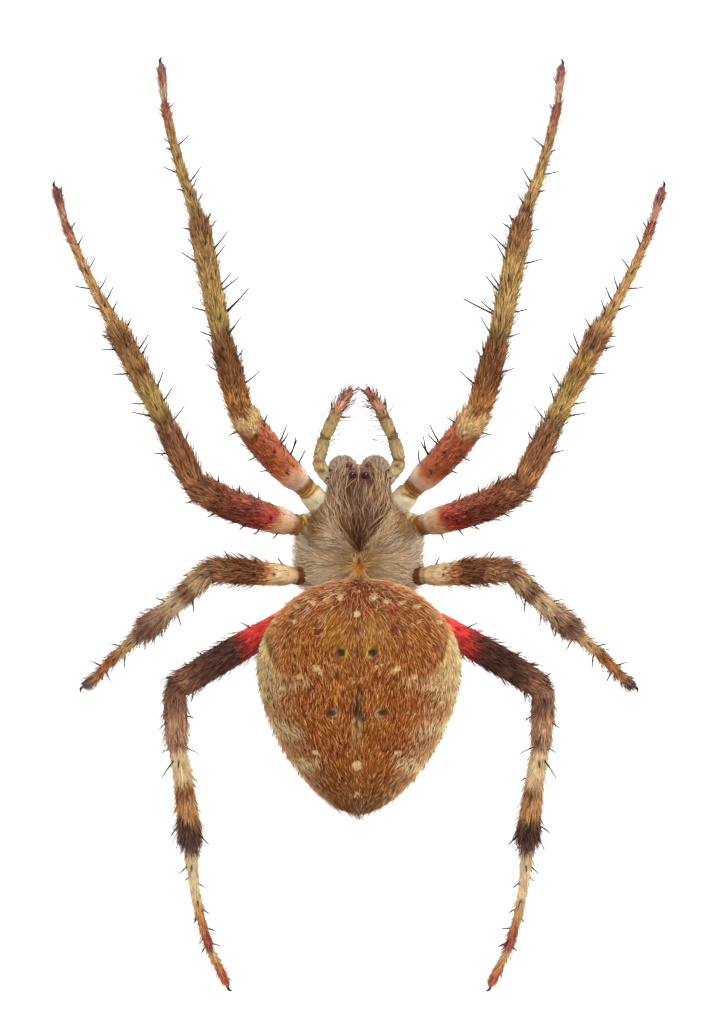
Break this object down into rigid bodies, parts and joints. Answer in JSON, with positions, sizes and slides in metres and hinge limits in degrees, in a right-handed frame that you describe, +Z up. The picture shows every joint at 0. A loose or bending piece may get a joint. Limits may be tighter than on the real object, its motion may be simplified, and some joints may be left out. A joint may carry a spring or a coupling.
{
  "type": "orb weaver spider",
  "caption": "Life-size orb weaver spider standing still, legs spread, with a pear-shaped hairy abdomen and spiny banded legs.",
  "frame": {"origin": "on the floor, under the middle of the whole spider's box, which is just behind the head", "axes": "+Z up; the spider faces -Y and its left side is at +X"},
  "size_m": [0.0144, 0.0216, 0.0043],
  "materials": {
    "abdomen_cuticle": "rust-brown skin under a close coat of curved golden hairs",
    "carapace_cuticle": "grey-tan shell under long cream hairs, darker brown on the head",
    "spinneret_cuticle": "dark brown, fine hairs",
    "chelicera_cuticle": "satin brown shell under grey-tan hairs",
    "fang_chitin": "polished dark red-brown",
    "palp_cuticle": "satin yellow-tan with a reddish bristly tip",
    "eye_lens": "wet black lens",
    "coxa_cuticle": "satin cream with dark brown edges",
    "femur_1_cuticle": "satin orange-red with a cream base",
    "femur_2_cuticle": "satin red-brown with a scarlet spot and a cream base",
    "femur_3_cuticle": "satin cream with a dark brown band",
    "femur_4_cuticle": "satin crimson that darkens to black-brown",
    "patella_cuticle": "satin dark brown, streaked with pale hairs",
    "tibia_cuticle": "satin olive-yellow, brown towards its end, with black spines",
    "foot_cuticle": "satin yellow-tan to reddish, with black spines and claws"
  },
  "bodies": {
    "root": {"abdomen": "abdomen_cuticle", "cephalothorax": "carapace_cuticle", "chelicera_left": "chelicera_cuticle", "chelicera_right": "chelicera_cuticle", "eye_front_lateral_left": "eye_lens", "eye_front_lateral_right": "eye_lens", "eye_front_median_left": "eye_lens", "eye_front_median_right": "eye_lens", "eye_rear_lateral_left": "eye_lens", "eye_rear_lateral_right": "eye_lens", "eye_rear_median_left": "eye_lens", "eye_rear_median_right": "eye_lens", "fang_left": "fang_chitin", "fang_right": "fang_chitin", "leg_1_left_coxa": "coxa_cuticle", "leg_1_left_femur": "femur_1_cuticle", "leg_1_left_foot": "foot_cuticle", "leg_1_left_patella": "patella_cuticle", "leg_1_left_tibia": "tibia_cuticle", "leg_1_right_coxa": "coxa_cuticle", "leg_1_right_femur": "femur_1_cuticle", "leg_1_right_foot": "foot_cuticle", "leg_1_right_patella": "patella_cuticle", "leg_1_right_tibia": "tibia_cuticle", "leg_2_left_coxa": "coxa_cuticle", "leg_2_left_femur": "femur_2_cuticle", "leg_2_left_foot": "foot_cuticle", "leg_2_left_patella": "patella_cuticle", "leg_2_left_tibia": "tibia_cuticle", "leg_2_right_coxa": "coxa_cuticle", "leg_2_right_femur": "femur_2_cuticle", "leg_2_right_foot": "foot_cuticle", "leg_2_right_patella": "patella_cuticle", "leg_2_right_tibia": "tibia_cuticle", "leg_3_left_coxa": "coxa_cuticle", "leg_3_left_femur": "femur_3_cuticle", "leg_3_left_foot": "foot_cuticle", "leg_3_left_patella": "patella_cuticle", "leg_3_left_tibia": "tibia_cuticle", "leg_3_right_coxa": "coxa_cuticle", "leg_3_right_femur": "femur_3_cuticle", "leg_3_right_foot": "foot_cuticle", "leg_3_right_patella": "patella_cuticle", "leg_3_right_tibia": "tibia_cuticle", "leg_4_left_coxa": "coxa_cuticle", "leg_4_left_femur": "femur_4_cuticle", "leg_4_left_foot": "foot_cuticle", "leg_4_left_patella": "patella_cuticle", "leg_4_left_tibia": "tibia_cuticle", "leg_4_right_coxa": "coxa_cuticle", "leg_4_right_femur": "femur_4_cuticle", "leg_4_right_foot": "foot_cuticle", "leg_4_right_patella": "patella_cuticle", "leg_4_right_tibia": "tibia_cuticle", "palp_left_lower": "palp_cuticle", "palp_left_upper": "palp_cuticle", "palp_right_lower": "palp_cuticle", "palp_right_upper": "palp_cuticle", "pedicel": "carapace_cuticle", "spinnerets": "spinneret_cuticle"}
  },
  "joints": []
}
